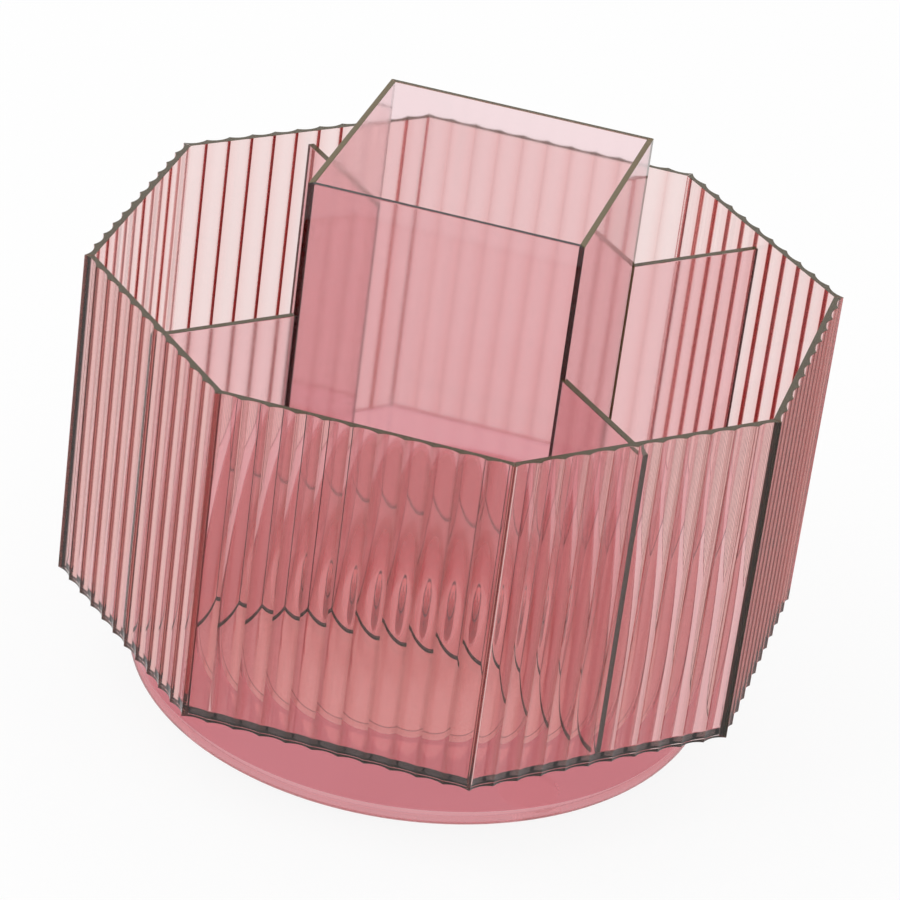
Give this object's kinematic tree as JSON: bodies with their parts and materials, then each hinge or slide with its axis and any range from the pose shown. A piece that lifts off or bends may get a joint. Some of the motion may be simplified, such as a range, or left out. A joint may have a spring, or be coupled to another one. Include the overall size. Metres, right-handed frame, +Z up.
{
  "type": "rotating pen holder",
  "caption": "Clear rose-tinted desk organizer: a fluted octagonal tray with diagonal dividers and a tall square cup, turning freely on a round base.",
  "frame": {"origin": "on the desk, under the middle of the base and the tray's turning axis", "axes": "+Z up along the turning axis, front compartment towards -Y, +X to the right"},
  "size_m": [0.16, 0.16, 0.135],
  "materials": {
    "fluted_acrylic": "clear rose tint, polished flutes",
    "flat_acrylic": "clear rose tint, polished",
    "base_acrylic": "clear rose tint, moulded",
    "frosted_plate": "translucent, frosted, faint rose tint",
    "bearing_clear": "clear moulded polycarbonate",
    "roller_clear": "clear, polished",
    "screw_steel": "zinc plated",
    "foot_rubber": "soft, translucent"
  },
  "bodies": {
    "base": {"base_dish": "base_acrylic", "foot_front_left": "foot_rubber", "foot_front_right": "foot_rubber", "foot_back_right": "foot_rubber", "foot_back_left": "foot_rubber", "lower_race": "bearing_clear", "pivot_bush": "bearing_clear"},
    "bearing_cage": {"roller_cage": "bearing_clear", "bearing_rollers": "roller_clear"},
    "tray": {"tray_floor": "flat_acrylic", "turntable_plate": "frosted_plate", "upper_race": "bearing_clear", "retaining_washer": "screw_steel", "retaining_screw": "screw_steel", "wall_front": "fluted_acrylic", "wall_front_right": "fluted_acrylic", "wall_right": "fluted_acrylic", "wall_back_right": "fluted_acrylic", "wall_back": "fluted_acrylic", "wall_back_left": "fluted_acrylic", "wall_left": "fluted_acrylic", "wall_front_left": "fluted_acrylic", "divider_front_right": "flat_acrylic", "divider_back_right": "flat_acrylic", "divider_back_left": "flat_acrylic", "divider_front_left": "flat_acrylic", "cup_wall_front": "flat_acrylic", "cup_wall_right": "flat_acrylic", "cup_wall_back": "flat_acrylic", "cup_wall_left": "flat_acrylic"}
  },
  "joints": [
    {"name": "tray_spin", "type": "hinge", "parent": "base", "child": "tray", "pos_m": [0, 0, 0.0228], "axis": [0, 0, 1], "continuous": true},
    {"name": "cage_spin", "type": "hinge", "parent": "base", "child": "bearing_cage", "pos_m": [0, 0, 0.0195], "axis": [0, 0, 1], "continuous": true}
  ],
  "couplings": [
    {"joint": "cage_spin", "follows": "tray_spin", "ratio": 0.5}
  ]
}
